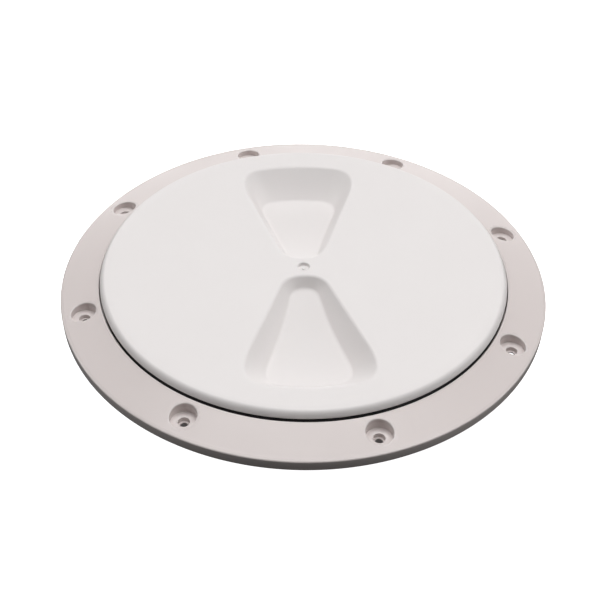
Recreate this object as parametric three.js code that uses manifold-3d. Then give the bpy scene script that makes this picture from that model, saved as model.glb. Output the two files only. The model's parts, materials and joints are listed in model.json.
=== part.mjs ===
// Screw-in deck hatch, in millimetres with +Z up and the origin at the bottom centre of the collar.
// Three pieces: the deck ring that is screwed to the deck, the lid that screws into it, and the
// O-ring in the groove round the lid's rim.
import * as THREE from 'three';
import { mergeVertices } from 'three/addons/utils/BufferGeometryUtils.js';
import Module from 'manifold-3d';

const wasm = await Module();
wasm.setup();

// Driving dimensions
const SEGMENTS = 72;
const COLLAR_DEPTH = 14;
const FLANGE_RADIUS = 100;
const FLANGE_EDGE_HEIGHT = 4.4;
const FLANGE_RISE = 3.1;
const FLANGE_EDGE_ROUND = 0.6;
const MOUTH_RADIUS = 84.2;
const MOUTH_EDGE_ROUND = 0.4;
const SEAT_HEIGHT = COLLAR_DEPTH + 2.2;
const COLLAR_INNER_RADIUS = 78.4;
const COLLAR_WALL = 3;

// Hollow under the flange, its ribs and the screw holes
const CORE_INNER_RADIUS = 87;
const CORE_OUTER_RADIUS = 96.5;
const CORE_HEIGHT = 3.4;
const FLANGE_RIB_THICKNESS = 1.8;
const SCREW_COUNT = 8;
const SCREW_CIRCLE_RADIUS = 91.3;
const FIRST_SCREW_ANGLE = THREE.MathUtils.degToRad(17.7);
const SCREW_BOSS_RADIUS = 7;
const COUNTERBORE_RADIUS = 5;
const COUNTERBORE_DEPTH = 3.55;
const SCREW_HOLE_RADIUS = 2.2;
const SCREW_WEB_RADIUS = 1.45;
const SCREW_WEB_HEIGHT = 0.7;
const HOLE_SIDES = 20;

// Lid, its top dished towards the centre
const LID_RADIUS = 83.75;
const LID_TOP = COLLAR_DEPTH + FLANGE_EDGE_HEIGHT + 6.5;
const LID_DISH = 2.35;
const LID_EDGE_WIDTH = 3.35;
const DISH_RADIUS = LID_RADIUS - LID_EDGE_WIDTH;
const LID_THICKNESS = 5;
const LID_RIM_HEIGHT = 2.8;
const LID_EDGE_LAND = 0.2;
const GROOVE_RADIUS = 80.4;
const GROOVE_WALL = 2;
const GROOVE_LIP_RADIUS = 82.5;
const GROOVE_LIP_HEIGHT = 2.1;
const SEAT_GAP = 0.3;
const SKIRT_RADIUS = 75.9;
const SKIRT_WALL = 3;
const SKIRT_BOTTOM = 3;
const GATE_RADIUS = 2.45;
const GATE_DEPTH = 1.5;
const LID_RIB_THICKNESS = 2;
const LID_RIB_DEPTH = 7;

// Finger recesses: the rim outline on the lid's top and the floor outline below it. start and end
// are distances from the lid's centre. The corners are lengths along the outline.
const RECESS_TURN = THREE.MathUtils.degToRad(3.2);
const RECESS_RIM = { start: 5.8, end: 70.9, startCorner: 7, sideCorner: 18, arcCorner: 10.5 };
const RECESS_FLOOR = { start: 8.4, end: 59.6, startCorner: 5, sideCorner: 10, arcCorner: 8 };
const RECESS_HALF_WIDTH = 5.4;
const RECESS_SPREAD = 0.35;
const RECESS_SLOPE = Math.hypot(1, RECESS_SPREAD);
const RECESS_DRAFT = THREE.MathUtils.degToRad(29.5);
const RECESS_FLOOR_HEIGHT = 12.75;
const RECESS_RAMP_RISE = 4.6;
const RECESS_RAMP_POWER = 3.1;
const RECESS_WALL = 2.4;
const RECESS_WALL_TOP_SINK = 1;
const RECESS_SIDE_STEPS = 8;
const RECESS_CURVE_STEPS = 5;

// Thread, right-handed: turning the lid anticlockwise lifts it by one pitch a turn
const THREAD_PITCH = 5;
const THREAD_TURNS = 2;
const THREAD_HEIGHT = 2;
const THREAD_ROOT_HALF = 1.2;
const THREAD_CREST_HALF = 0.7;
const THREAD_SINK = 0.5;
const THREAD_STEPS_PER_TURN = 36;
const THREAD_RUNOUT_STEPS = 3;
const COLLAR_THREAD_START = 2.2;
const LID_THREAD_START = COLLAR_THREAD_START + THREAD_PITCH / 2;

// O-ring
const SEAL_SECTION_RADIUS = 1.45;
const SEAL_RADIUS = 82.3;
const SEAL_HEIGHT = 20.35;
const SEAL_SIDES = 10;

const CUT_MARGIN = 1;

function toManifold(source) {
  const geometry = source.clone();
  geometry.deleteAttribute('normal');
  geometry.deleteAttribute('uv');
  const merged = mergeVertices(geometry, 1e-4);
  const corners = merged.index.array;
  const triangles = [];
  for (let i = 0; i < corners.length; i += 3) {
    const [a, b, c] = corners.slice(i, i + 3);
    if (a !== b && b !== c && c !== a) triangles.push(a, b, c);
  }
  const mesh = new wasm.Mesh({
    numProp: 3,
    vertProperties: new Float32Array(merged.attributes.position.array),
    triVerts: new Uint32Array(triangles),
  });
  return new wasm.Manifold(mesh);
}

function toGeometry(manifold) {
  const mesh = manifold.getMesh();
  const geometry = new THREE.BufferGeometry();
  geometry.setAttribute('position', new THREE.BufferAttribute(mesh.vertProperties, 3));
  geometry.setIndex(new THREE.BufferAttribute(mesh.triVerts, 1));
  geometry.computeVertexNormals();
  return geometry;
}

function lathe(path, curveSteps) {
  const geometry = new THREE.LatheGeometry(path.getPoints(curveSteps), SEGMENTS);
  geometry.rotateX(Math.PI / 2);
  return toManifold(geometry);
}

function cylinder(radius, bottom, top, x, y) {
  const geometry = new THREE.CylinderGeometry(radius, radius, top - bottom, HOLE_SIDES);
  geometry.rotateX(Math.PI / 2);
  geometry.translate(x, y, (bottom + top) / 2);
  return toManifold(geometry);
}

function radialBar(angle, innerRadius, outerRadius, thickness, bottom, top) {
  const geometry = new THREE.BoxGeometry(outerRadius - innerRadius, thickness, top - bottom);
  geometry.translate((innerRadius + outerRadius) / 2, 0, (bottom + top) / 2);
  geometry.rotateZ(angle);
  return toManifold(geometry);
}

// Closed skin through rings of equal, even point count. The first and last ring are closed by
// strips that join point i to point count - i.
function loft(rings) {
  const count = rings[0].length;
  const positions = [];
  const index = [];
  for (const ring of rings) {
    for (const point of ring) positions.push(point.x, point.y, point.z);
  }
  for (let k = 0; k < rings.length - 1; k++) {
    const low = k * count;
    const high = low + count;
    for (let i = 0; i < count; i++) {
      const j = (i + 1) % count;
      index.push(low + i, low + j, high + j, low + i, high + j, high + i);
    }
  }
  const last = (rings.length - 1) * count;
  for (let i = 0; i < count / 2; i++) {
    const across = count - i - 1;
    const opposite = (count - i) % count;
    if (i + 1 !== across) {
      index.push(i, across, i + 1, last + i, last + i + 1, last + across);
    }
    if (i !== opposite) {
      index.push(i, opposite, across, last + i, last + across, last + opposite);
    }
  }
  const geometry = new THREE.BufferGeometry();
  geometry.setAttribute('position', new THREE.Float32BufferAttribute(positions, 3));
  geometry.setIndex(index);
  return toManifold(geometry);
}

// Helical ridge of trapezoid section. Both ends run out into the wall over a few steps.
function threadRidge(wallRadius, direction, startHeight) {
  const steps = THREAD_TURNS * THREAD_STEPS_PER_TURN;
  const rings = [];
  for (let i = 0; i <= steps; i++) {
    const angle = (2 * Math.PI * i) / THREAD_STEPS_PER_TURN;
    const middle = startHeight + (THREAD_PITCH * i) / THREAD_STEPS_PER_TURN;
    const runout = Math.min(i, steps - i) / THREAD_RUNOUT_STEPS;
    const reach = direction * THREAD_HEIGHT * Math.min(1, 0.05 + runout);
    const corner = (radius, height) =>
      new THREE.Vector3(radius * Math.cos(angle), radius * Math.sin(angle), middle + height);
    const root = wallRadius - direction * THREAD_SINK;
    const crest = wallRadius + reach;
    const ring = [
      corner(root, -THREAD_ROOT_HALF),
      corner(root, THREAD_ROOT_HALF),
      corner(crest, THREAD_CREST_HALF),
      corner(crest, -THREAD_CREST_HALF),
    ];
    rings.push(direction > 0 ? ring : ring.reverse());
  }
  return loft(rings);
}

// Height of the flange's top, a flat cone that rises to the mouth.
function flangeTopHeight(radius) {
  const inward = (FLANGE_RADIUS - radius) / (FLANGE_RADIUS - MOUTH_RADIUS);
  return COLLAR_DEPTH + FLANGE_EDGE_HEIGHT + FLANGE_RISE * inward;
}

// Ring section: collar, hollow underside, edge round, sloping top, mouth wall, lid seat.
function ringSection() {
  const core = COLLAR_DEPTH + CORE_HEIGHT;
  const collarOuter = COLLAR_INNER_RADIUS + COLLAR_WALL;
  const edge = COLLAR_DEPTH + FLANGE_EDGE_HEIGHT;
  const roundStart = FLANGE_RADIUS - FLANGE_EDGE_ROUND;
  const mouthTop = MOUTH_RADIUS + MOUTH_EDGE_ROUND;
  const path = new THREE.Path();
  path.moveTo(COLLAR_INNER_RADIUS, 0);
  path.lineTo(collarOuter, 0);
  path.lineTo(collarOuter, COLLAR_DEPTH);
  path.lineTo(CORE_INNER_RADIUS, COLLAR_DEPTH);
  path.lineTo(CORE_INNER_RADIUS, core);
  path.lineTo(CORE_OUTER_RADIUS, core);
  path.lineTo(CORE_OUTER_RADIUS, COLLAR_DEPTH);
  path.lineTo(FLANGE_RADIUS, COLLAR_DEPTH);
  path.lineTo(FLANGE_RADIUS, edge - FLANGE_EDGE_ROUND);
  path.quadraticCurveTo(FLANGE_RADIUS, edge, roundStart, flangeTopHeight(roundStart));
  path.lineTo(mouthTop, flangeTopHeight(mouthTop));
  path.lineTo(MOUTH_RADIUS, flangeTopHeight(MOUTH_RADIUS) - MOUTH_EDGE_ROUND);
  path.lineTo(MOUTH_RADIUS, SEAT_HEIGHT);
  path.lineTo(COLLAR_INNER_RADIUS, SEAT_HEIGHT);
  path.lineTo(COLLAR_INNER_RADIUS, 0);
  return path;
}

function buildDeckRing() {
  const coreTop = COLLAR_DEPTH + CORE_HEIGHT;
  const webTop = COLLAR_DEPTH + SCREW_WEB_HEIGHT;
  let ring = lathe(ringSection(), 3);
  ring = ring.add(threadRidge(COLLAR_INNER_RADIUS, -1, COLLAR_THREAD_START));
  const counterboreFloor = flangeTopHeight(SCREW_CIRCLE_RADIUS) - COUNTERBORE_DEPTH;
  const aboveFlange = flangeTopHeight(MOUTH_RADIUS) + CUT_MARGIN;
  const spacing = (2 * Math.PI) / SCREW_COUNT;
  for (let i = 0; i < SCREW_COUNT; i++) {
    const angle = FIRST_SCREW_ANGLE + i * spacing;
    const x = SCREW_CIRCLE_RADIUS * Math.cos(angle);
    const y = SCREW_CIRCLE_RADIUS * Math.sin(angle);
    ring = ring.add(cylinder(SCREW_BOSS_RADIUS, COLLAR_DEPTH, coreTop + 0.5, x, y));
    ring = ring.subtract(cylinder(COUNTERBORE_RADIUS, counterboreFloor, aboveFlange, x, y));
    ring = ring.subtract(cylinder(SCREW_HOLE_RADIUS, webTop, aboveFlange, x, y));
    ring = ring.subtract(cylinder(SCREW_WEB_RADIUS, 0, aboveFlange, x, y));
    for (const offset of [1 / 3, 2 / 3]) {
      const ribAngle = angle + offset * spacing;
      const inner = CORE_INNER_RADIUS - 0.5;
      const outer = CORE_OUTER_RADIUS + 0.5;
      const thickness = FLANGE_RIB_THICKNESS;
      ring = ring.add(radialBar(ribAngle, inner, outer, thickness, COLLAR_DEPTH, coreTop + 0.5));
    }
  }
  return ring;
}

function lidTopHeight(radius) {
  return LID_TOP - LID_DISH * (1 - (radius / DISH_RADIUS) ** 2);
}

function floorHeight(distance) {
  const { start, end } = RECESS_FLOOR;
  const left = THREE.MathUtils.clamp((end - distance) / (end - start), 0, 1);
  return RECESS_FLOOR_HEIGHT + RECESS_RAMP_RISE * left ** RECESS_RAMP_POWER;
}

function rimHalfWidth(distance) {
  return RECESS_HALF_WIDTH + RECESS_SPREAD * distance;
}

function floorHalfWidth(distance) {
  const depth = lidTopHeight(distance) - floorHeight(distance);
  return rimHalfWidth(distance) - depth * Math.tan(RECESS_DRAFT) * RECESS_SLOPE;
}

// Outline of a recess along +Y, larger by wall all round. Its end is an arc about the lid's centre
// and every corner is a smooth curve.
function recessOutline(shape, halfWidth, wall) {
  const start = shape.start - wall;
  const end = shape.end + wall;
  const side = (distance) =>
    new THREE.Vector2(halfWidth(distance) + wall * RECESS_SLOPE, distance);
  const arc = (angle) => new THREE.Vector2(end * Math.sin(angle), end * Math.cos(angle));
  let corner = end;
  for (let i = 0; i < 10; i++) corner = Math.sqrt(end ** 2 - side(corner).x ** 2);
  const sideStart = start + shape.startCorner / RECESS_SLOPE;
  const sideEnd = corner - shape.sideCorner / RECESS_SLOPE;
  const arcHalf = Math.atan2(side(corner).x, corner) - shape.arcCorner / end;
  const nose = new THREE.QuadraticBezierCurve(
    new THREE.Vector2(0, start), side(start), side(sideStart),
  );
  const bend = new THREE.QuadraticBezierCurve(side(sideEnd), side(corner), arc(arcHalf));
  const half = nose.getPoints(RECESS_CURVE_STEPS);
  for (let i = 1; i < RECESS_SIDE_STEPS; i++) {
    half.push(side(THREE.MathUtils.lerp(sideStart, sideEnd, i / RECESS_SIDE_STEPS)));
  }
  half.push(...bend.getPoints(RECESS_CURVE_STEPS));
  for (let i = 1; i <= RECESS_CURVE_STEPS; i++) {
    half.push(arc(arcHalf * (1 - i / RECESS_CURVE_STEPS)));
  }
  const mirrored = half.slice(1, -1).reverse().map((point) => new THREE.Vector2(-point.x, point.y));
  return [...half, ...mirrored];
}

// The floor ring and the rim ring of a recess, larger by wall at the sides and below the floor.
function recessRings(wall, rimSink, turn) {
  const axis = new THREE.Vector3(0, 0, 1);
  const place = (point, height) =>
    new THREE.Vector3(point.x, point.y, height).applyAxisAngle(axis, turn);
  const floor = recessOutline(RECESS_FLOOR, floorHalfWidth, wall);
  const rim = recessOutline(RECESS_RIM, rimHalfWidth, wall);
  return [
    floor.map((point) => place(point, floorHeight(point.y) - wall)),
    rim.map((point) => place(point, lidTopHeight(point.length()) - rimSink)),
  ];
}

// Solid round a recess, from outside its floor up into the lid's plate.
function recessOutside(turn) {
  return loft(recessRings(RECESS_WALL, RECESS_WALL_TOP_SINK, turn));
}

// The hollow of a recess, carried on straight above the lid.
function recessInside(turn) {
  const [floor, rim] = recessRings(0, 0, turn);
  const above = rim.map((point) => point.clone().setZ(LID_TOP + CUT_MARGIN));
  return loft([floor, rim, above]);
}

// Lid section: dished top plate with a rounded edge, O-ring groove, and threaded skirt.
function lidSection() {
  const plateBottom = LID_TOP - LID_THICKNESS;
  const rimBottom = LID_TOP - LID_RIM_HEIGHT;
  const grooveBottom = SEAT_HEIGHT + SEAT_GAP;
  const skirtInner = SKIRT_RADIUS - SKIRT_WALL;
  const path = new THREE.Path();
  path.moveTo(0, plateBottom);
  path.lineTo(skirtInner, plateBottom);
  path.lineTo(skirtInner, SKIRT_BOTTOM);
  path.lineTo(SKIRT_RADIUS, SKIRT_BOTTOM);
  path.lineTo(SKIRT_RADIUS, plateBottom);
  path.lineTo(GROOVE_RADIUS - GROOVE_WALL, plateBottom);
  path.lineTo(GROOVE_RADIUS - GROOVE_WALL, grooveBottom);
  path.lineTo(GROOVE_LIP_RADIUS, grooveBottom);
  path.lineTo(GROOVE_LIP_RADIUS, grooveBottom + GROOVE_LIP_HEIGHT);
  path.lineTo(GROOVE_RADIUS, grooveBottom + GROOVE_LIP_HEIGHT);
  path.lineTo(GROOVE_RADIUS, rimBottom);
  path.lineTo(LID_RADIUS, rimBottom);
  path.lineTo(LID_RADIUS, rimBottom + LID_EDGE_LAND);
  path.quadraticCurveTo(DISH_RADIUS + 0.7 * LID_EDGE_WIDTH, LID_TOP, DISH_RADIUS, LID_TOP);
  path.quadraticCurveTo(DISH_RADIUS / 2, LID_TOP - LID_DISH, 0, LID_TOP - LID_DISH);
  return path;
}

function buildLid() {
  const plateBottom = LID_TOP - LID_THICKNESS;
  let lid = lathe(lidSection(), 4);
  lid = lid.add(threadRidge(SKIRT_RADIUS, 1, LID_THREAD_START));
  const turns = [RECESS_TURN, RECESS_TURN + Math.PI];
  for (const turn of turns) {
    lid = lid.add(recessOutside(turn));
    const outer = SKIRT_RADIUS - SKIRT_WALL + 1;
    const bottom = plateBottom - LID_RIB_DEPTH;
    lid = lid.add(radialBar(turn, 0, outer, LID_RIB_THICKNESS, bottom, plateBottom + 0.5));
  }
  for (const turn of turns) lid = lid.subtract(recessInside(turn));
  const gateBottom = lidTopHeight(0) - GATE_DEPTH;
  return lid.subtract(cylinder(GATE_RADIUS, gateBottom, LID_TOP, 0, 0));
}

function buildSeal() {
  const seal = new THREE.TorusGeometry(SEAL_RADIUS, SEAL_SECTION_RADIUS, SEAL_SIDES, SEGMENTS);
  seal.translate(0, 0, SEAL_HEIGHT);
  return toManifold(seal);
}

function addPiece(group, name, manifold, color, roughness) {
  const material = new THREE.MeshStandardMaterial({ color, roughness, metalness: 0 });
  const mesh = new THREE.Mesh(toGeometry(manifold), material);
  mesh.name = name;
  group.add(mesh);
}

const hatch = new THREE.Group();
addPiece(hatch, 'deck_ring', buildDeckRing(), 0xd6cdc9, 0.55);
addPiece(hatch, 'lid', buildLid(), 0xe9e6e5, 0.55);
addPiece(hatch, 'o_ring', buildSeal(), 0x141414, 0.6);

export default hatch;
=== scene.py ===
import json
import math

import bmesh
import bpy
import numpy as np
from mathutils import Matrix, Vector
from mathutils.geometry import delaunay_2d_cdt


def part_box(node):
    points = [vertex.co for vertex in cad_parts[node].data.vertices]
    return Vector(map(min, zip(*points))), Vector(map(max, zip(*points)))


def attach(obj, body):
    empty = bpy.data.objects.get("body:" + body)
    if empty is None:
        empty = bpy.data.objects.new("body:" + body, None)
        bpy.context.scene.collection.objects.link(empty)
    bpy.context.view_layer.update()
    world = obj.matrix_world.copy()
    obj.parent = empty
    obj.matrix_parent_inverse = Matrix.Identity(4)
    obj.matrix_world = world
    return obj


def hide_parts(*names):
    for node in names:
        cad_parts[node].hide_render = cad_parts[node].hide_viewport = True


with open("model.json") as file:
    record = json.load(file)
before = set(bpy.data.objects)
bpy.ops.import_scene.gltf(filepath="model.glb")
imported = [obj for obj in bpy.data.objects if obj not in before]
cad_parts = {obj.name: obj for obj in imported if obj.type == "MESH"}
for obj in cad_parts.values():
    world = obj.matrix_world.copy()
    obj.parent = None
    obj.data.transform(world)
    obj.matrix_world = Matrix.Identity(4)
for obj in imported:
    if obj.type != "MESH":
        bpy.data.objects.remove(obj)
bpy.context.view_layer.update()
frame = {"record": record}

MM = 0.001
MERGE_DISTANCE = 0.002


def box_mm(node):
    low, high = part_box(node)
    return low / MM, high / MM


ring_low, ring_high = box_mm("deck_ring")
lid_low, lid_high = box_mm("lid")
seal_low, seal_high = box_mm("o_ring")
mounts = {m["name"]: m for m in frame["record"]["mounts"]}

# Deck ring. MOUTH_TOP is the mouth's corner before its edge is rounded.
DECK = mounts["deck_face"]["pos_m"][2] / MM
FOOT = ring_low.z
FLANGE_RADIUS = ring_high.x
MOUTH_TOP = ring_high.z + 0.08
EDGE_TOP = DECK + 4.4
MOUTH_RADIUS = FLANGE_RADIUS - 15.8
COLLAR_INNER = FLANGE_RADIUS - 21.6
COLLAR_OUTER = COLLAR_INNER + 3
SEAT = DECK + 2.2
CORE_INNER = FLANGE_RADIUS - 13
CORE_OUTER = FLANGE_RADIUS - 3.5
CORE_TOP = DECK + 3.4
SCREW_COUNT = 8
SCREW_CIRCLE = FLANGE_RADIUS - 8.7
FIRST_SCREW = math.radians(17.7)
COUNTERBORE_RADIUS = 5
COUNTERBORE_DEPTH = 3.55
SCREW_HOLE_RADIUS = 2.2
WEB_HOLE_RADIUS = 1.45
WEB_TOP = DECK + 0.7
SCREW_SIDES = 64
SCREW_RIM_EASE = 0.45
BOSS_RADIUS = 7
FLANGE_RIB_THICKNESS = 1.8
OVERLAP = 0.6

# Lid, its top dished towards the centre. The rim's round is LID_ROUND wide, and LID_SHOULDER is where
# its two tangents meet, inwards of the lid's side.
LID_TOP = lid_high.z
LID_RADIUS = lid_high.x
LID_DISH = 2.35
DISH_RADIUS = LID_RADIUS - 3.35
LID_ROUND = 2.3
LID_SHOULDER = 0.9
PLATE_BOTTOM = LID_TOP - 5
RIM_BOTTOM = LID_TOP - 2.8
GROOVE_RADIUS = LID_RADIUS - 3.35
LIP_RADIUS = LID_RADIUS - 1.25
LIP_BOTTOM = SEAT + 0.3
LIP_TOP = LIP_BOTTOM + 2.1
GROOVE_WALL = 2
SKIRT_OUTER = LID_RADIUS - 7.85
SKIRT_INNER = SKIRT_OUTER - 3
SKIRT_BOTTOM = lid_low.z
LID_RIB_THICKNESS = 2
LID_RIB_DEPTH = 7
LID_RIB_OVERLAP = 2
TOP_SPACING = 3.5
UNDERSIDE_SPACING = 4.5

# Gate recess with the nub inside it; the lid's plate starts at GATE_RIM
GATE_RADIUS = 2.45
GATE_DEPTH = 1.5
GATE_RIM = 3.3
GATE_EASE = 0.45
GATE_DRAFT = 0.1
NUB_RADIUS = 0.75
NUB_HEIGHT = 0.6

# Finger recesses. start and end are distances from the lid's centre, and the corners are lengths
# along the outline. The floor's rings close in on a spine down its middle.
RECESS_TURN = math.radians(3.2)
RIM = dict(start=5.8, end=70.9, start_corner=7, side_corner=18, arc_corner=10.5)
FLOOR = dict(start=8.4, end=59.6, start_corner=5, side_corner=10, arc_corner=8)
SPINE_START = FLOOR["start"] + 6
SPINE_END = FLOOR["end"] - 15
HALF_WIDTH = 5.4
SPREAD = 0.35
SLOPE = math.hypot(1, SPREAD)
DRAFT = math.tan(math.radians(29.5))
FLOOR_LOW = 12.75
RAMP_RISE = 4.6
RAMP_POWER = 3.1
RECESS_WALL = 2.4
RIM_ROUND = 1.0
FOOT_ROUND = 0.9

# Fine raised line on each recess floor: its distance from the lid's centre and half its length
FLOOR_LINES = ((38.4, 8.5), (51.7, 9))
FLOOR_LINE_WIDTH = 0.3
FLOOR_LINE_RISE = 0.16

# Thread
PITCH = 5
THREAD_TURNS = 2
THREAD_HEIGHT = 2
THREAD_ROOT_HALF = 1.2
THREAD_CREST_HALF = 0.7
THREAD_CREST_ROUND = 0.3
THREAD_SUNK = 0.5
THREAD_RUNOUT_STEPS = 14
THREAD_END_SHARE = 0.04
COLLAR_THREAD_START = FOOT + 2.2
LID_THREAD_START = COLLAR_THREAD_START + PITCH / 2

# O-ring
SEAL_LINE = 0.05
SEAL_STEPS = 32

# Steps round a full turn of the revolved shapes and of the thread
TURN_STEPS = 480
THREAD_STEPS = 180

# Edges. Those sharper than CREASE aren't smoothed, and outward ones that bend more than WEAR_HIGHLIGHT_FROM
# (radians) are lightened, as rubbed by handling and as a painted highlight, by WEAR_HIGHLIGHT_REACH over the
# width of the faces beside them.
CREASE = math.radians(35)
WEAR_HIGHLIGHT_FROM = 0.04
WEAR_HIGHLIGHT_REACH = 0.35
LEAST_SPAN = 0.02

# Camera: metres, radians and the lens in millimetres
CAMERA_DISTANCE = 0.40496
CAMERA_ELEVATION = math.radians(40.143)
CAMERA_PAN, CAMERA_TILT, CAMERA_ROLL = -0.0032, -0.02715, -0.01784
CAMERA_LENS = 57.98
SENSOR_WIDTH = 36

# Stage. Each soft box has a name, a place and a size in metres, and a power in watts.
FLOOR_HALF = 3000
FLOOR_GLOW = 1.1
SHADOW_RADIUS = 88
SHADOW_EDGE = 2
ROOM_LIGHT = 0.073
SOFT_BOXES = (
    ("overhead", (0.12, 0.15, 1.15), (1.2, 0.8), 11.6),
    ("right", (1.1, 0.1, 0.7), (0.8, 0.8), 3.4),
    ("left", (-1.1, 0.1, 0.7), (0.8, 0.8), 3.5),
    ("backdrop", (0, 1.5, 0.36), (2.2, 0.4), 6.6),
)


def unit(vectors):
    """The vectors with length one."""
    vectors = np.asarray(vectors, float)
    return vectors / np.linalg.norm(vectors, axis=-1, keepdims=True)


def flange_top(radius):
    """Height of the flange's top, a flat cone that rises to the mouth."""
    return EDGE_TOP + (MOUTH_TOP - EDGE_TOP) * (FLANGE_RADIUS - radius) / (FLANGE_RADIUS - MOUTH_RADIUS)


def lid_top(radius):
    """Height of the lid's top, a shallow dish."""
    return LID_TOP - LID_DISH * (1 - (radius / DISH_RADIUS) ** 2)


def rounded(corners, closed=True, steps=4):
    """Points along a section whose corners are (x, y, radius)."""
    points = []
    last = len(corners) - 1
    for i, (x, y, radius) in enumerate(corners):
        here = np.array((x, y), float)
        if radius == 0 or (not closed and i in (0, last)):
            points.append(here)
            continue
        back = unit(np.array(corners[i - 1][:2]) - here)
        ahead = unit(np.array(corners[(i + 1) % len(corners)][:2]) - here)
        half = math.acos(np.clip(back @ ahead, -1, 1)) / 2
        centre = here + unit(back + ahead) * radius / math.sin(half)
        first = here + back * radius / math.tan(half) - centre
        final = here + ahead * radius / math.tan(half) - centre
        sweep = math.pi - 2 * half
        for k in range(steps + 1):
            a = math.sin(sweep * (1 - k / steps))
            b = math.sin(sweep * k / steps)
            points.append(centre + (a * first + b * final) / math.sin(sweep))
    return points


def circle(radius, height, count=TURN_STEPS, centre=(0, 0)):
    """Points round a level circle, from +X anticlockwise."""
    angles = np.arange(count) * 2 * math.pi / count
    x = centre[0] + radius * np.cos(angles)
    y = centre[1] + radius * np.sin(angles)
    return np.stack([x, y, np.broadcast_to(height, x.shape)], axis=1)


def bezier(a, b, c, steps):
    """Rings that turn smoothly from a to c, pulled towards b."""
    return [
        (1 - t) ** 2 * a + 2 * t * (1 - t) * b + t**2 * c for t in np.linspace(0, 1, steps + 1)
    ]


def inside(points, outline):
    """Which of the points lie inside a closed outline, both in the plane."""
    x, y = points[:, 0, None], points[:, 1, None]
    ax, ay = outline[:, 0], outline[:, 1]
    bx, by = np.roll(ax, -1), np.roll(ay, -1)
    straddles = (ay > y) != (by > y)
    rise = np.where(by == ay, 1, by - ay)
    crosses = straddles & (x < ax + (y - ay) * (bx - ax) / rise)
    return crosses.sum(axis=1) % 2 == 1


def between(points, outlines):
    """Which of the points lie inside the first outline and outside all the others."""
    kept = inside(points, outlines[0])
    for hole in outlines[1:]:
        kept &= ~inside(points, hole)
    return kept


def staggered_grid(reach, spacing):
    """Points of a triangular grid over the square from -reach to reach."""
    rows = np.arange(-reach, reach, spacing * math.sqrt(3) / 2)
    return np.array([
        (x + (k % 2) * spacing / 2, y)
        for k, y in enumerate(rows)
        for x in np.arange(-reach, reach, spacing)
    ])


class Skin:
    """A surface put together from rings of points and flat plates, in millimetres."""

    def __init__(self):
        self.points = []
        self.faces = []

    def ring(self, coords):
        """Adds points and returns their numbers."""
        start = len(self.points)
        self.points.extend(np.asarray(coords, float))
        return list(range(start, len(self.points)))

    def bridge(self, low, high):
        """Joins two rings of equal count with quads."""
        for i in range(len(low)):
            j = (i + 1) % len(low)
            self.faces.append((low[i], low[j], high[j], high[i]))

    def tube(self, rings, closed=False):
        """Joins rings of equal count in order; returns the first and last. Closed joins those too."""
        made = [self.ring(coords) for coords in rings]
        for low, high in zip(made, made[1:]):
            self.bridge(low, high)
        if closed:
            self.bridge(made[-1], made[0])
        return made[0], made[-1]

    def rod(self, rings):
        """A tube that is closed at both ends."""
        for end in self.tube(rings):
            self.cap(end)

    def cap(self, ring):
        """Closes a ring with triangles round its middle."""
        centre = self.ring([np.mean([self.points[i] for i in ring], axis=0)])[0]
        for i in range(len(ring)):
            self.faces.append((ring[i], ring[(i + 1) % len(ring)], centre))

    def plate(self, outline, holes, spacing, height):
        """Fills the region between an outer ring and its holes' rings, at height(radius)."""
        loops = [outline, *holes]
        border = [i for loop in loops for i in loop]
        flat = np.array([self.points[i] for i in border])
        edges = []
        start = 0
        for loop in loops:
            count = len(loop)
            edges += [(start + i, start + (i + 1) % count) for i in range(count)]
            start += count
        outlines = [np.array([self.points[i] for i in loop])[:, :2] for loop in loops]
        grid = staggered_grid(np.abs(outlines[0]).max(), spacing)
        grid = grid[between(grid, outlines)]
        nearest = np.array([np.hypot(*(flat[:, :2] - p).T).min() for p in grid])
        grid = grid[nearest > spacing / 2]
        coords = [Vector(p) for p in np.concatenate([flat[:, :2], grid])]
        points, _, faces, origin, _, _ = delaunay_2d_cdt(coords, edges, [], 0, 1e-6)
        numbers = []
        for point, source in zip(points, origin):
            known = [border[i] for i in source if i < len(border)]
            lone = (point.x, point.y, height(math.hypot(point.x, point.y)))
            numbers.append(known[0] if known else self.ring([lone])[0])
        middles = np.array([np.mean([points[i] for i in face], axis=0) for face in faces])
        kept = between(middles, outlines)
        self.faces += [tuple(numbers[i] for i in face) for face, keep in zip(faces, kept) if keep]

    def mesh(self, name):
        """Makes a Blender object of the skin."""
        data = bpy.data.meshes.new(name)
        data.from_pydata([tuple(p * MM) for p in self.points], [], self.faces)
        obj = bpy.data.objects.new(name, data)
        bpy.context.scene.collection.objects.link(obj)
        clean(obj)
        return obj


def clean(obj):
    """Merges doubled points, drops empty faces and turns every face outwards."""
    work = bmesh.new()
    work.from_mesh(obj.data)
    bmesh.ops.remove_doubles(work, verts=work.verts, dist=MERGE_DISTANCE * MM)
    bmesh.ops.dissolve_degenerate(work, edges=work.edges, dist=MERGE_DISTANCE * MM)
    bmesh.ops.recalc_face_normals(work, faces=work.faces)
    work.to_mesh(obj.data)
    work.free()


def combine(obj, other, operation):
    """Joins other to obj or cuts it away, and removes other."""
    modifier = obj.modifiers.new(operation.lower(), "BOOLEAN")
    modifier.operation = operation
    modifier.solver = "MANIFOLD"
    modifier.object = other
    bpy.context.view_layer.update()
    result = bpy.data.meshes.new_from_object(obj.evaluated_get(bpy.context.evaluated_depsgraph_get()))
    obj.modifiers.clear()
    obj.data = result
    bpy.data.objects.remove(other)
    clean(obj)


def revolve(skin, section, closed=True):
    """Turns a section of (radius, height) points about the hatch's axis."""
    rings = [circle(radius, height) for radius, height in section]
    return skin.tube(rings, closed)


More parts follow.
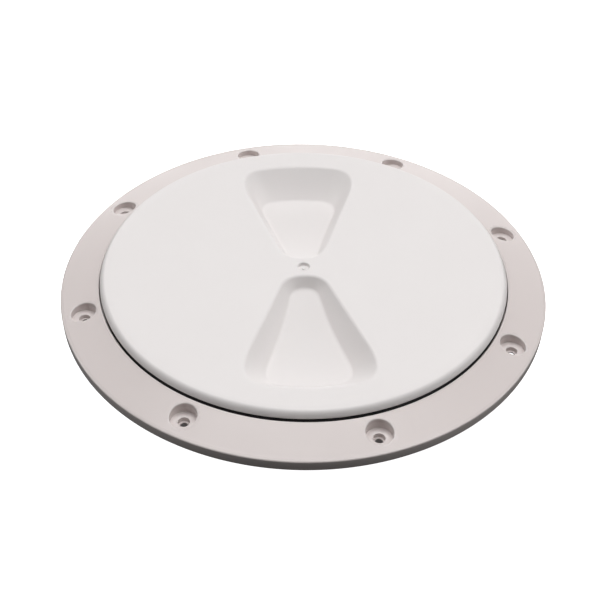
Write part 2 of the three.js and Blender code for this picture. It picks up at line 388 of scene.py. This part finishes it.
def thread(skin, wall_radius, side, start_height):
    """Helical ridge with a rounded crest; both ends run out into the wall."""
    steps = THREAD_TURNS * THREAD_STEPS
    root = wall_radius - side * THREAD_SUNK
    rings = []
    for i in range(steps + 1):
        angle = 2 * math.pi * i / THREAD_STEPS
        grown = min(1, THREAD_END_SHARE + min(i, steps - i) / THREAD_RUNOUT_STEPS)
        crest = wall_radius + side * THREAD_HEIGHT * grown
        ease = THREAD_CREST_ROUND * grown
        section = [
            (root, -THREAD_ROOT_HALF, 0),
            (root, THREAD_ROOT_HALF, 0),
            (crest, THREAD_CREST_HALF, ease),
            (crest, -THREAD_CREST_HALF, ease),
        ]
        middle = start_height + PITCH * i / THREAD_STEPS
        ring = [(r * math.cos(angle), r * math.sin(angle), middle + z) for r, z in rounded(section, steps=3)]
        rings.append(np.array(ring))
    skin.rod(rings)


def bar(skin, angle, inner, outer, thickness, bottom, top):
    """Radial rib with a slight draft and rounded lower edges."""
    half = thickness / 2
    root_half = half * 1.15
    ease = 0.35
    section = [(-root_half, top, 0), (-half, bottom, ease), (half, bottom, ease), (root_half, top, 0)]
    across = rounded(section, steps=3)
    turn = Matrix.Rotation(angle, 3, "Z")
    rings = []
    for distance in (inner, outer):
        rings.append([turn @ Vector((distance, offset, height)) for offset, height in across])
    skin.rod(rings)


# Deck ring

def ring_section():
    """Section of the deck ring without its bosses, ribs and thread."""
    slope = [(r, flange_top(r), 0) for r in np.linspace(FLANGE_RADIUS - 1.8, MOUTH_RADIUS + 1.4, 8)]
    return rounded([
        (MOUTH_RADIUS, MOUTH_TOP, 0.45),
        (MOUTH_RADIUS, SEAT, 0.3),
        (COLLAR_INNER, SEAT, 0.4),
        (COLLAR_INNER, FOOT, 0.5),
        (COLLAR_OUTER, FOOT, 0.5),
        (COLLAR_OUTER, DECK, 0.8),
        (CORE_INNER, DECK, 0.3),
        (CORE_INNER, CORE_TOP, 0.8),
        (CORE_OUTER, CORE_TOP, 0.8),
        (CORE_OUTER, DECK, 0.3),
        (FLANGE_RADIUS, DECK, 0.35),
        (FLANGE_RADIUS, EDGE_TOP, 0.6),
        *slope,
    ])


def screw_hole(skin, x, y):
    """Cutter for one counterbored hole, its rim eased along the sloping top."""
    rim_radius = COUNTERBORE_RADIUS + SCREW_RIM_EASE

    def on_flange(radius, sink):
        ring = circle(radius, 0, SCREW_SIDES, (x, y))
        ring[:, 2] = flange_top(np.hypot(ring[:, 0], ring[:, 1])) - sink
        return ring

    floor = flange_top(SCREW_CIRCLE) - COUNTERBORE_DEPTH
    rings = [circle(rim_radius, MOUTH_TOP + 2, SCREW_SIDES, (x, y)), on_flange(rim_radius, -0.02)]
    for degrees in (30, 45, 60, 75, 90):
        t = math.radians(degrees)
        radius = COUNTERBORE_RADIUS + SCREW_RIM_EASE * (1 - math.sin(t))
        rings.append(on_flange(radius, SCREW_RIM_EASE * (1 - math.cos(t))))
    bore = rounded([
        (COUNTERBORE_RADIUS, floor + 2, 0),
        (COUNTERBORE_RADIUS - 0.05, floor, 0.12),
        (SCREW_HOLE_RADIUS, floor, 0.15),
        (SCREW_HOLE_RADIUS, WEB_TOP, 0.1),
        (WEB_HOLE_RADIUS, WEB_TOP, 0.1),
        (WEB_HOLE_RADIUS, DECK - 1, 0),
    ], closed=False)
    rings += [circle(radius, height, SCREW_SIDES, (x, y)) for radius, height in bore]
    skin.rod(rings)


def screw_boss(skin, x, y):
    """Round boss under the flange, round one screw hole."""
    foot = DECK + 0.05
    section = rounded([
        (BOSS_RADIUS + 0.15, CORE_TOP + OVERLAP, 0),
        (BOSS_RADIUS, foot, 0.4),
        (0.01, foot, 0),
    ], closed=False)
    skin.rod([circle(radius, height, SCREW_SIDES, (x, y)) for radius, height in section])


def deck_ring():
    """The moulding with its bosses, ribs and thread, and the screw holes cut through."""
    body = Skin()
    revolve(body, ring_section())
    ring = body.mesh("deck_ring_moulding")
    added = Skin()
    cut = Skin()
    spacing = 2 * math.pi / SCREW_COUNT
    for i in range(SCREW_COUNT):
        angle = FIRST_SCREW + i * spacing
        centre = (SCREW_CIRCLE * math.cos(angle), SCREW_CIRCLE * math.sin(angle))
        screw_boss(added, *centre)
        screw_hole(cut, *centre)
        for share in (1 / 3, 2 / 3):
            bar(added, angle + share * spacing, CORE_INNER - OVERLAP, CORE_OUTER + OVERLAP,
                FLANGE_RIB_THICKNESS, DECK + 0.1, CORE_TOP + OVERLAP)
    thread(added, COLLAR_INNER, -1, COLLAR_THREAD_START)
    combine(ring, added.mesh("ring_added"), "UNION")
    combine(ring, cut.mesh("ring_cut"), "DIFFERENCE")
    return ring


# Lid

def floor_height(distance):
    """The floor is a ramp that flattens out towards the wide end."""
    left = np.clip((FLOOR["end"] - distance) / (FLOOR["end"] - FLOOR["start"]), 0, 1)
    return FLOOR_LOW + RAMP_RISE * left**RAMP_POWER


def rim_half(distance):
    """Half the width of a recess's rim at a distance from the lid's centre."""
    return HALF_WIDTH + SPREAD * distance


def floor_half(distance):
    """Half the width of a recess's floor, drawn in from the rim by the wall's draft."""
    return rim_half(distance) - (lid_top(distance) - floor_height(distance)) * DRAFT * SLOPE


def recess_outline(shape, half_width, grow=0.0):
    """Outline of a recess along +Y: round start, drawn-in sides, end arc about the lid's centre."""
    start = shape["start"] - grow
    end = shape["end"] + grow

    def side(distance):
        return np.array((half_width(distance) + grow * SLOPE, distance))

    corner = end
    for _ in range(12):
        corner = math.sqrt(end**2 - side(corner)[0] ** 2)
    side_start = start + shape["start_corner"] / SLOPE
    side_end = corner - shape["side_corner"] / SLOPE
    arc_half = math.atan2(*side(corner)) - shape["arc_corner"] / end
    arc = [end * np.array((math.sin(a), math.cos(a))) for a in np.linspace(arc_half, 0, 17)]
    right = bezier(np.array((0.0, start)), side(start), side(side_start), 14)
    right += [side(d) for d in np.linspace(side_start, side_end, 29)[1:]]
    right += bezier(side(side_end), side(corner), arc[0], 18)[1:]
    right += arc[1:]
    left = [point * (-1, 1) for point in right[-2:0:-1]]
    return np.array(right + left)


def lifted(outline, height):
    """A flat outline as points at a height."""
    return np.column_stack([outline, np.broadcast_to(height, len(outline))])


def pocket(skin, rim, support, foot, foot_inner, height, rounds, turn):
    """Rings from the plate over the rim, down the wall and over the floor; returns the plate's ring."""
    rim_round, foot_round = rounds
    down = unit(foot - rim)
    away = unit(support - rim)
    wall_end = foot - down * foot_round
    rings = [support]
    rings += bezier(rim + away * rim_round, rim, rim + down * rim_round, 8)
    wall_start = rings[-1]
    rings += [(1 - t) * wall_start + t * wall_end for t in (0.33, 0.67)]
    rings += bezier(wall_end, foot, foot_inner, 6)
    spine = foot_inner.copy()
    spine[:, 0] = 0
    spine[:, 1] = np.clip(spine[:, 1], SPINE_START, SPINE_END)
    for t in np.linspace(0, 1, 15)[1:]:
        ring = (1 - t) * foot_inner + t * spine
        ring[:, 2] = height(ring[:, 1])
        rings.append(ring)
    spin = np.array(Matrix.Rotation(turn, 3, "Z"))
    first, _ = skin.tube([ring @ spin.T for ring in rings])
    return first


def recess(skin, turn):
    """The inside of a recess, seen from above the lid."""
    def on_top(outline):
        return lifted(outline, lid_top(np.hypot(*outline.T)))

    rim = on_top(recess_outline(RIM, rim_half))
    support = on_top(recess_outline(RIM, rim_half, RIM_ROUND + 0.5))
    foot = recess_outline(FLOOR, floor_half)
    inner = recess_outline(FLOOR, floor_half, -1.0)
    foot_ring = lifted(foot, floor_height(foot[:, 1]))
    inner_ring = lifted(inner, floor_height(inner[:, 1]))
    return pocket(skin, rim, support, foot_ring, inner_ring, floor_height, (RIM_ROUND, FOOT_ROUND), turn)


def recess_underside(skin, turn):
    """The outside of a recess, seen from below the lid."""
    def height(distance):
        return floor_height(distance) - RECESS_WALL

    above = lifted(recess_outline(RIM, rim_half, RECESS_WALL), LID_TOP)
    foot_outline = recess_outline(FLOOR, floor_half, RECESS_WALL)
    foot = lifted(foot_outline, height(foot_outline[:, 1]))
    share = ((LID_TOP - PLATE_BOTTOM) / (LID_TOP - foot[:, 2]))[:, None]
    rim = above + share * (foot - above)
    support = lifted(recess_outline(RIM, rim_half, RECESS_WALL + 1), PLATE_BOTTOM)
    inner_outline = recess_outline(FLOOR, floor_half, RECESS_WALL - 2)
    inner = lifted(inner_outline, height(inner_outline[:, 1]))
    return pocket(skin, rim, support, foot, inner, height, (0.6, 1.8), turn)


def floor_line(skin, turn, distance, half_length):
    """Fine raised line across a recess floor, with rounded ends."""
    spin = Matrix.Rotation(turn, 3, "Z")
    sides = 12
    rings = []
    for along in np.concatenate([[-1.0], np.linspace(-0.98, 0.98, 15), [1.0]]):
        swell = 0.35 if abs(along) == 1 else 1
        ring = []
        for k in range(sides):
            angle = 2 * math.pi * k / sides
            y = distance + FLOOR_LINE_WIDTH * swell * math.cos(angle)
            z = float(floor_height(y)) + FLOOR_LINE_RISE * swell * math.sin(angle)
            ring.append(spin @ Vector((half_length * along, y, z)))
        rings.append(ring)
    skin.rod(rings)


def gate(skin):
    """Small blind dimple at the lid's centre with the broken-off nub of the moulding gate."""
    top = lid_top(0)
    floor = top - GATE_DEPTH
    nub_top = floor + NUB_HEIGHT
    ease_start = GATE_RADIUS + GATE_EASE
    section = rounded([
        (ease_start, lid_top(ease_start), 0),
        (GATE_RADIUS, top, 0.4),
        (GATE_RADIUS - GATE_DRAFT, floor, 0.4),
        (NUB_RADIUS, floor, 0.15),
        (NUB_RADIUS - GATE_DRAFT, nub_top - 0.05, 0.15),
        (0.01, nub_top, 0),
    ], closed=False)
    rings = [(GATE_RIM, lid_top(GATE_RIM)), *section]
    first, last = skin.tube([circle(radius, height, 64) for radius, height in rings])
    skin.cap(last)
    return first


def lid_section():
    """Section of the lid from the edge of its top round to the underside of its plate."""
    rise = np.array((LID_RADIUS - LID_ROUND, LID_TOP))
    shoulder = np.array((LID_RADIUS - LID_SHOULDER, LID_TOP))
    land = np.array((LID_RADIUS, RIM_BOTTOM + 0.4))
    edge = [(radius, lid_top(radius)) for radius in (DISH_RADIUS - 0.6, DISH_RADIUS)]
    edge += bezier(rise, shoulder, land, 18)
    below = rounded([
        (LID_RADIUS, RIM_BOTTOM + 0.3, 0),
        (LID_RADIUS, RIM_BOTTOM, 0.2),
        (GROOVE_RADIUS, RIM_BOTTOM, 0.3),
        (GROOVE_RADIUS, LIP_TOP, 0.3),
        (LIP_RADIUS, LIP_TOP, 0.25),
        (LIP_RADIUS, LIP_BOTTOM, 0.25),
        (GROOVE_RADIUS - GROOVE_WALL, LIP_BOTTOM, 0.25),
        (GROOVE_RADIUS - GROOVE_WALL, PLATE_BOTTOM, 0.5),
        (SKIRT_OUTER, PLATE_BOTTOM, 0.5),
        (SKIRT_OUTER, SKIRT_BOTTOM, 0.6),
        (SKIRT_INNER, SKIRT_BOTTOM, 0.6),
        (SKIRT_INNER, PLATE_BOTTOM, 0.5),
        (SKIRT_INNER - 0.9, PLATE_BOTTOM, 0),
    ], closed=False)
    return [*edge, *below]


def lid():
    """The moulding with its two recesses, the ribs between them, the floor lines and the thread."""
    body = Skin()
    top_edge, bottom_edge = revolve(body, lid_section(), closed=False)
    turns = (RECESS_TURN, RECESS_TURN + math.pi)
    openings = [*(recess(body, turn) for turn in turns), gate(body)]
    body.plate(top_edge, openings, TOP_SPACING, lid_top)
    underside = [recess_underside(body, turn) for turn in turns]
    body.plate(bottom_edge, underside, UNDERSIDE_SPACING, lambda radius: PLATE_BOTTOM)
    moulding = body.mesh("lid_moulding")
    ribs = Skin()
    for turn, inner in zip(turns, (-LID_RIB_OVERLAP, LID_RIB_OVERLAP)):
        bar(ribs, turn, inner, SKIRT_INNER + 1, LID_RIB_THICKNESS,
            PLATE_BOTTOM - LID_RIB_DEPTH, PLATE_BOTTOM + OVERLAP)
    combine(moulding, ribs.mesh("lid_ribs"), "UNION")
    lines = Skin()
    for turn, (distance, half_length) in zip(turns, FLOOR_LINES):
        floor_line(lines, turn, distance, half_length)
    combine(moulding, lines.mesh("lid_lines"), "UNION")
    ridge = Skin()
    thread(ridge, SKIRT_OUTER, 1, LID_THREAD_START)
    combine(moulding, ridge.mesh("lid_thread"), "UNION")
    return moulding


# O-ring

def seal():
    """Round rubber ring with the fine moulding line that runs round its inside and outside."""
    middle_height = (seal_low.z + seal_high.z) / 2
    radius = (seal_high.z - seal_low.z) / 2
    middle_radius = seal_high.x - radius - SEAL_LINE
    skin = Skin()
    section = []
    for i in range(SEAL_STEPS):
        angle = 2 * math.pi * i / SEAL_STEPS
        reach = radius + (SEAL_LINE if i % (SEAL_STEPS // 2) == 0 else 0)
        section.append((middle_radius + reach * math.cos(angle), middle_height + reach * math.sin(angle)))
    revolve(skin, section)
    return skin.mesh("o_ring_rubber")


def smooth(obj):
    """Smooth shading with creases, and an edge attribute, high on outward edges, that lightens them as
    rubbing and as a painted highlight.
    """
    data = obj.data
    data.shade_smooth()
    work = bmesh.new()
    work.from_mesh(data)
    work.verts.ensure_lookup_table()
    layer = work.verts.layers.float.new("edge_wear_highlight")
    for edge in work.edges:
        if len(edge.link_faces) != 2:
            continue
        angle = edge.calc_face_angle_signed(0)
        edge.smooth = abs(angle) < CREASE
        # Outward edges get a weight that lightens their colour: rubbing by handling, and a painted highlight
        if angle > WEAR_HIGHLIGHT_FROM:
            spans = [face.calc_area() / edge.calc_length() for face in edge.link_faces]
            bend = min(1, angle * WEAR_HIGHLIGHT_REACH * MM / max(min(spans), LEAST_SPAN * MM))
            for vert in edge.verts:
                vert[layer] = max(vert[layer], bend)
    work.to_mesh(data)
    work.free()


# Materials

def new_material(name):
    """An empty material with a Principled shader; returns both."""
    material = bpy.data.materials.new(name)
    material.use_nodes = True
    nodes = material.node_tree.nodes
    nodes.clear()
    output = nodes.new("ShaderNodeOutputMaterial")
    shader = nodes.new("ShaderNodeBsdfPrincipled")
    material.node_tree.links.new(shader.outputs[0], output.inputs[0])
    return material, shader


def node(material, kind, links=(), **values):
    """A shader node; in_ values are for its inputs, and links are (input, source) pairs."""
    made = material.node_tree.nodes.new(kind)
    for key, value in values.items():
        if key.startswith("in_"):
            name = key[3:].replace("_", " ")
            socket = made.inputs[int(name)] if name.isdigit() else made.inputs[name]
            socket.default_value = value
        else:
            setattr(made, key, value)
    for target, source in links:
        material.node_tree.links.new(source, made.inputs[target])
    return made


def noise(material, coordinates, scale, detail, roughness=0.5):
    return node(material, "ShaderNodeTexNoise", [("Vector", coordinates)],
                in_Scale=scale, in_Detail=detail, in_Roughness=roughness).outputs["Fac"]


def span(material, value, low, high, from_low=0.25, from_high=0.75):
    """Maps a value onto low to high."""
    return node(material, "ShaderNodeMapRange", [("Value", value)], in_From_Min=from_low,
                in_From_Max=from_high, in_To_Min=low, in_To_Max=high).outputs["Result"]


def mixed(material, factor, a, b):
    """Colour a to colour b; each is a socket or a colour."""
    made = node(material, "ShaderNodeMix", [("Factor", factor)], data_type="RGBA")
    for socket, value in ((made.inputs[6], a), (made.inputs[7], b)):
        if isinstance(value, tuple):
            socket.default_value = (*value, 1)
        else:
            material.node_tree.links.new(value, socket)
    return made.outputs[2]


def plastic(name, base, shade, worn_highlight, grain, rough):
    """Moulded plastic: faint flow mottling, eroded-mould grain, and outward edges lighter and glossier,
    rubbed by handling and painted lighter as a highlight.
    """
    material, shader = new_material(name)
    place = node(material, "ShaderNodeTexCoord").outputs["Object"]
    mottle = noise(material, place, scale=28, detail=4)
    flecks = noise(material, place, scale=900, detail=2, roughness=0.6)
    fine = noise(material, place, scale=2600, detail=2, roughness=0.6)
    edges = node(material, "ShaderNodeAttribute", attribute_name="edge_wear_highlight").outputs["Fac"]
    patches = noise(material, place, scale=420, detail=4, roughness=0.7)
    wear_highlight = node(material, "ShaderNodeMath", [(0, edges), (1, patches)], operation="MULTIPLY").outputs[0]
    tone = mixed(material, span(material, mottle, 0, 1), base, shade)
    tone = mixed(material, span(material, flecks, 0, 0.25, 0.55, 0.75), tone, shade)
    # Outward edges turn to the lighter edge colour: rubbed by handling, and a painted highlight
    tone = mixed(material, span(material, wear_highlight, 0, 0.6, 0.1, 0.5), tone, worn_highlight)
    material.node_tree.links.new(tone, shader.inputs["Base Color"])
    dull = span(material, mottle, rough - 0.05, rough + 0.05)
    dull = node(material, "ShaderNodeMath", [(0, dull), (1, wear_highlight)], operation="SUBTRACT").outputs[0]
    dull = node(material, "ShaderNodeMath", [(0, dull)], operation="MAXIMUM", in_1=0.2).outputs[0]
    material.node_tree.links.new(dull, shader.inputs["Roughness"])
    waves = node(material, "ShaderNodeBump", [("Height", mottle)], in_Strength=0.12, in_Distance=0.0006)
    bump = node(material, "ShaderNodeBump", [("Height", fine), ("Normal", waves.outputs[0])],
                in_Strength=grain, in_Distance=0.00004)
    material.node_tree.links.new(bump.outputs[0], shader.inputs["Normal"])
    shader.inputs["IOR"].default_value = 1.46
    shader.inputs["Specular IOR Level"].default_value = 0.4
    return material


def rubber(name):
    """Black nitrile rubber with a bloom that dulls it in patches."""
    material, shader = new_material(name)
    place = node(material, "ShaderNodeTexCoord").outputs["Object"]
    bloom = noise(material, place, scale=160, detail=5, roughness=0.65)
    fine = noise(material, place, scale=3200, detail=2, roughness=0.6)
    tone = mixed(material, span(material, bloom, 0, 1), (0.008, 0.008, 0.008), (0.016, 0.016, 0.017))
    material.node_tree.links.new(tone, shader.inputs["Base Color"])
    material.node_tree.links.new(span(material, bloom, 0.45, 0.7), shader.inputs["Roughness"])
    bump = node(material, "ShaderNodeBump", [("Height", fine)], in_Strength=0.3, in_Distance=0.00004)
    material.node_tree.links.new(bump.outputs[0], shader.inputs["Normal"])
    return material


def finish_piece(obj, node_name, body, material):
    """Gives a piece its shading, material and place in the frame."""
    smooth(obj)
    obj.data.materials.clear()
    obj.data.materials.append(material)
    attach(obj, body)
    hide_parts(node_name)


# The last colour of each plastic is for outward edges: rubbed by handling, and a painted highlight
ring_plastic = plastic("ring_plastic", base=(0.7, 0.637, 0.622), shade=(0.683, 0.62, 0.604),
                       worn_highlight=(0.76, 0.71, 0.7), grain=0.35, rough=0.34)
lid_plastic = plastic("lid_plastic", base=(0.80, 0.77, 0.762), shade=(0.787, 0.755, 0.747),
                      worn_highlight=(0.83, 0.81, 0.80), grain=0.4, rough=0.55)
seal_rubber = rubber("seal_rubber")
finish_piece(deck_ring(), "deck_ring", "frame", ring_plastic)
finish_piece(lid(), "lid", "lid", lid_plastic)
finish_piece(seal(), "o_ring", "seal", seal_rubber)


# Camera and stage

def camera():
    """Looks down at the hatch's axis level with the flange's edge, then pans, tilts and rolls a little."""
    forward = Vector((0, math.cos(CAMERA_ELEVATION), -math.sin(CAMERA_ELEVATION)))
    right = Vector((1, 0, 0))
    up = right.cross(forward)
    place = Vector((0, 0, EDGE_TOP * MM)) - forward * CAMERA_DISTANCE
    axes = Matrix((right, up, -forward))
    pan = Matrix.Rotation(CAMERA_PAN, 3, "Y")
    tilt = Matrix.Rotation(-CAMERA_TILT, 3, "X")
    roll = Matrix.Rotation(CAMERA_ROLL, 3, "Z")
    data = bpy.data.cameras.new("camera")
    data.sensor_width = SENSOR_WIDTH
    data.lens = CAMERA_LENS
    data.clip_start = 0.01
    obj = bpy.data.objects.new("camera", data)
    bpy.context.scene.collection.objects.link(obj)
    obj.matrix_world = Matrix.Translation(place) @ (roll @ tilt @ pan @ axes).transposed().to_4x4()
    bpy.context.scene.camera = obj


def soft_box(name, place, size, power):
    """Rectangular soft light that faces the hatch."""
    light = bpy.data.lights.new(name, "AREA")
    light.shape = "RECTANGLE"
    light.size, light.size_y = size
    light.energy = power
    holder = bpy.data.objects.new(name, light)
    bpy.context.scene.collection.objects.link(holder)
    holder.location = place
    holder.rotation_euler = (-Vector(place)).to_track_quat("-Z", "Y").to_euler()


def white_floor():
    """White glowing floor, dark under the hatch, that gives the hatch no bounce light."""
    skin = Skin()
    corners = ((-1, -1), (1, -1), (1, 1), (-1, 1))
    skin.faces.append(tuple(skin.ring([(x * FLOOR_HALF, y * FLOOR_HALF, FOOT) for x, y in corners])))
    obj = skin.mesh("floor")
    material, shader = new_material("floor_white")
    shader.inputs["Base Color"].default_value = (0.8, 0.8, 0.8, 1)
    shader.inputs["Roughness"].default_value = 0.9
    shader.inputs["Emission Color"].default_value = (1, 1, 1, 1)
    place = node(material, "ShaderNodeTexCoord").outputs["Object"]
    reach = node(material, "ShaderNodeVectorMath", [(0, place)], operation="LENGTH").outputs["Value"]
    glow = span(material, reach, 0, FLOOR_GLOW, (SHADOW_RADIUS - SHADOW_EDGE) * MM, SHADOW_RADIUS * MM)
    material.node_tree.links.new(glow, shader.inputs["Emission Strength"])
    obj.data.materials.append(material)
    obj.visible_diffuse = False
    obj.visible_glossy = False


def stage():
    """Floor, soft boxes and a dim room."""
    white_floor()
    for box in SOFT_BOXES:
        soft_box(*box)
    world = bpy.data.worlds.new("room")
    world.use_nodes = True
    background = world.node_tree.nodes["Background"]
    background.inputs["Color"].default_value = (1, 1, 1, 1)
    background.inputs["Strength"].default_value = ROOM_LIGHT
    bpy.context.scene.world = world
    bpy.context.scene.view_settings.view_transform = "Standard"


camera()
stage()
